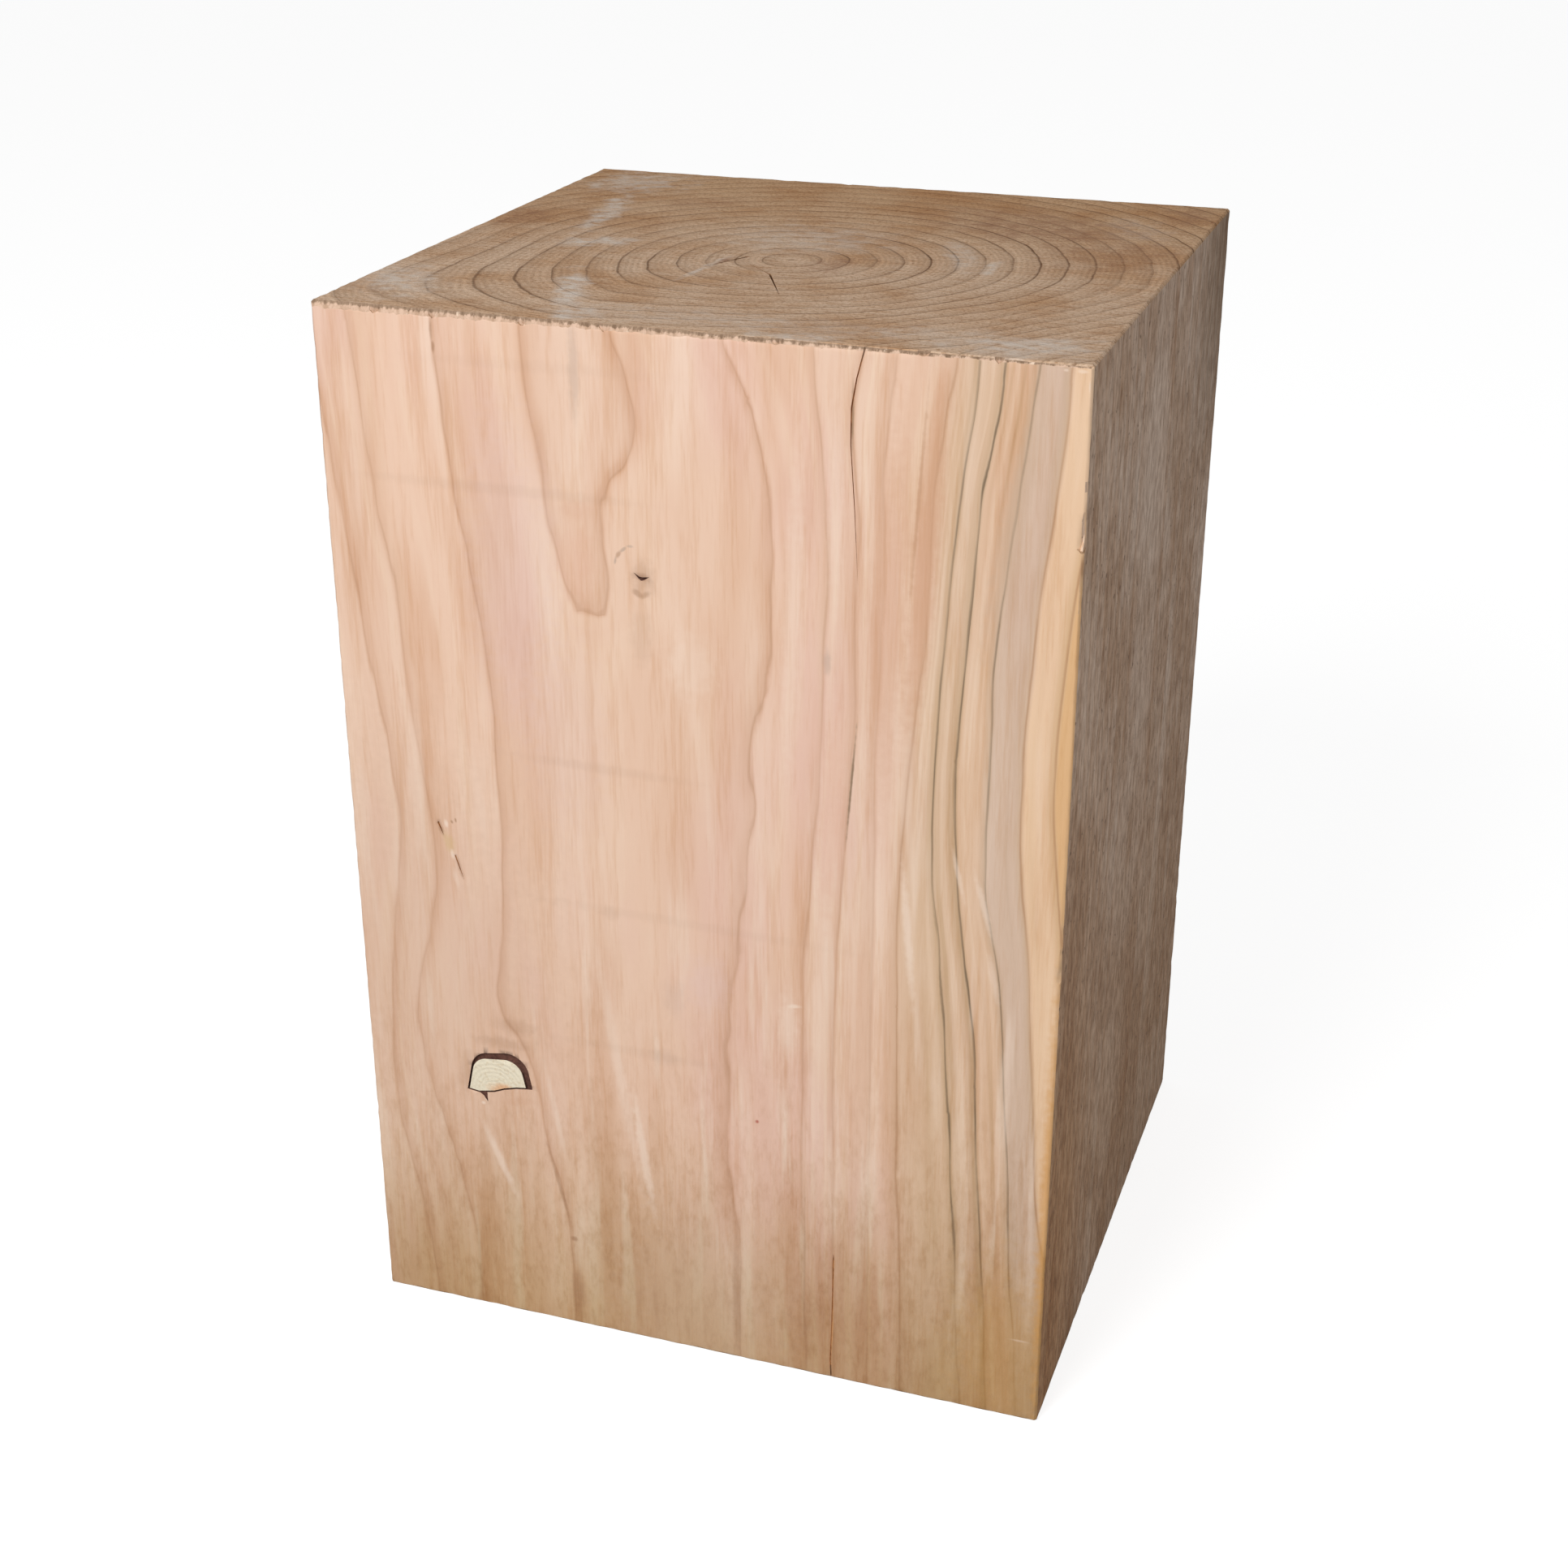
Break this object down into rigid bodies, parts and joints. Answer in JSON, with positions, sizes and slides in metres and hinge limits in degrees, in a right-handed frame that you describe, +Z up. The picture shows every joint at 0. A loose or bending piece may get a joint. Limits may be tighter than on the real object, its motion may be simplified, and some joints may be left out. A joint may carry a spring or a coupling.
{
  "type": "wood block",
  "caption": "Upright rectangular block of rough-sawn softwood, one solid piece boxed around the pith, with an encased knot and drying checks; stands or carries a load.",
  "frame": {"origin": "centre of the base", "axes": "+Z up along the grain; the front face with the encased knot looks along -Y; +X to the right when seen from the front"},
  "size_m": [0.2, 0.19, 0.3],
  "materials": {
    "wood": "rough-sawn bare softwood, pinkish tan long grain with thin darker ring lines, browner end grain"
  },
  "bodies": {
    "root": {"wood_block": "wood"}
  },
  "joints": []
}
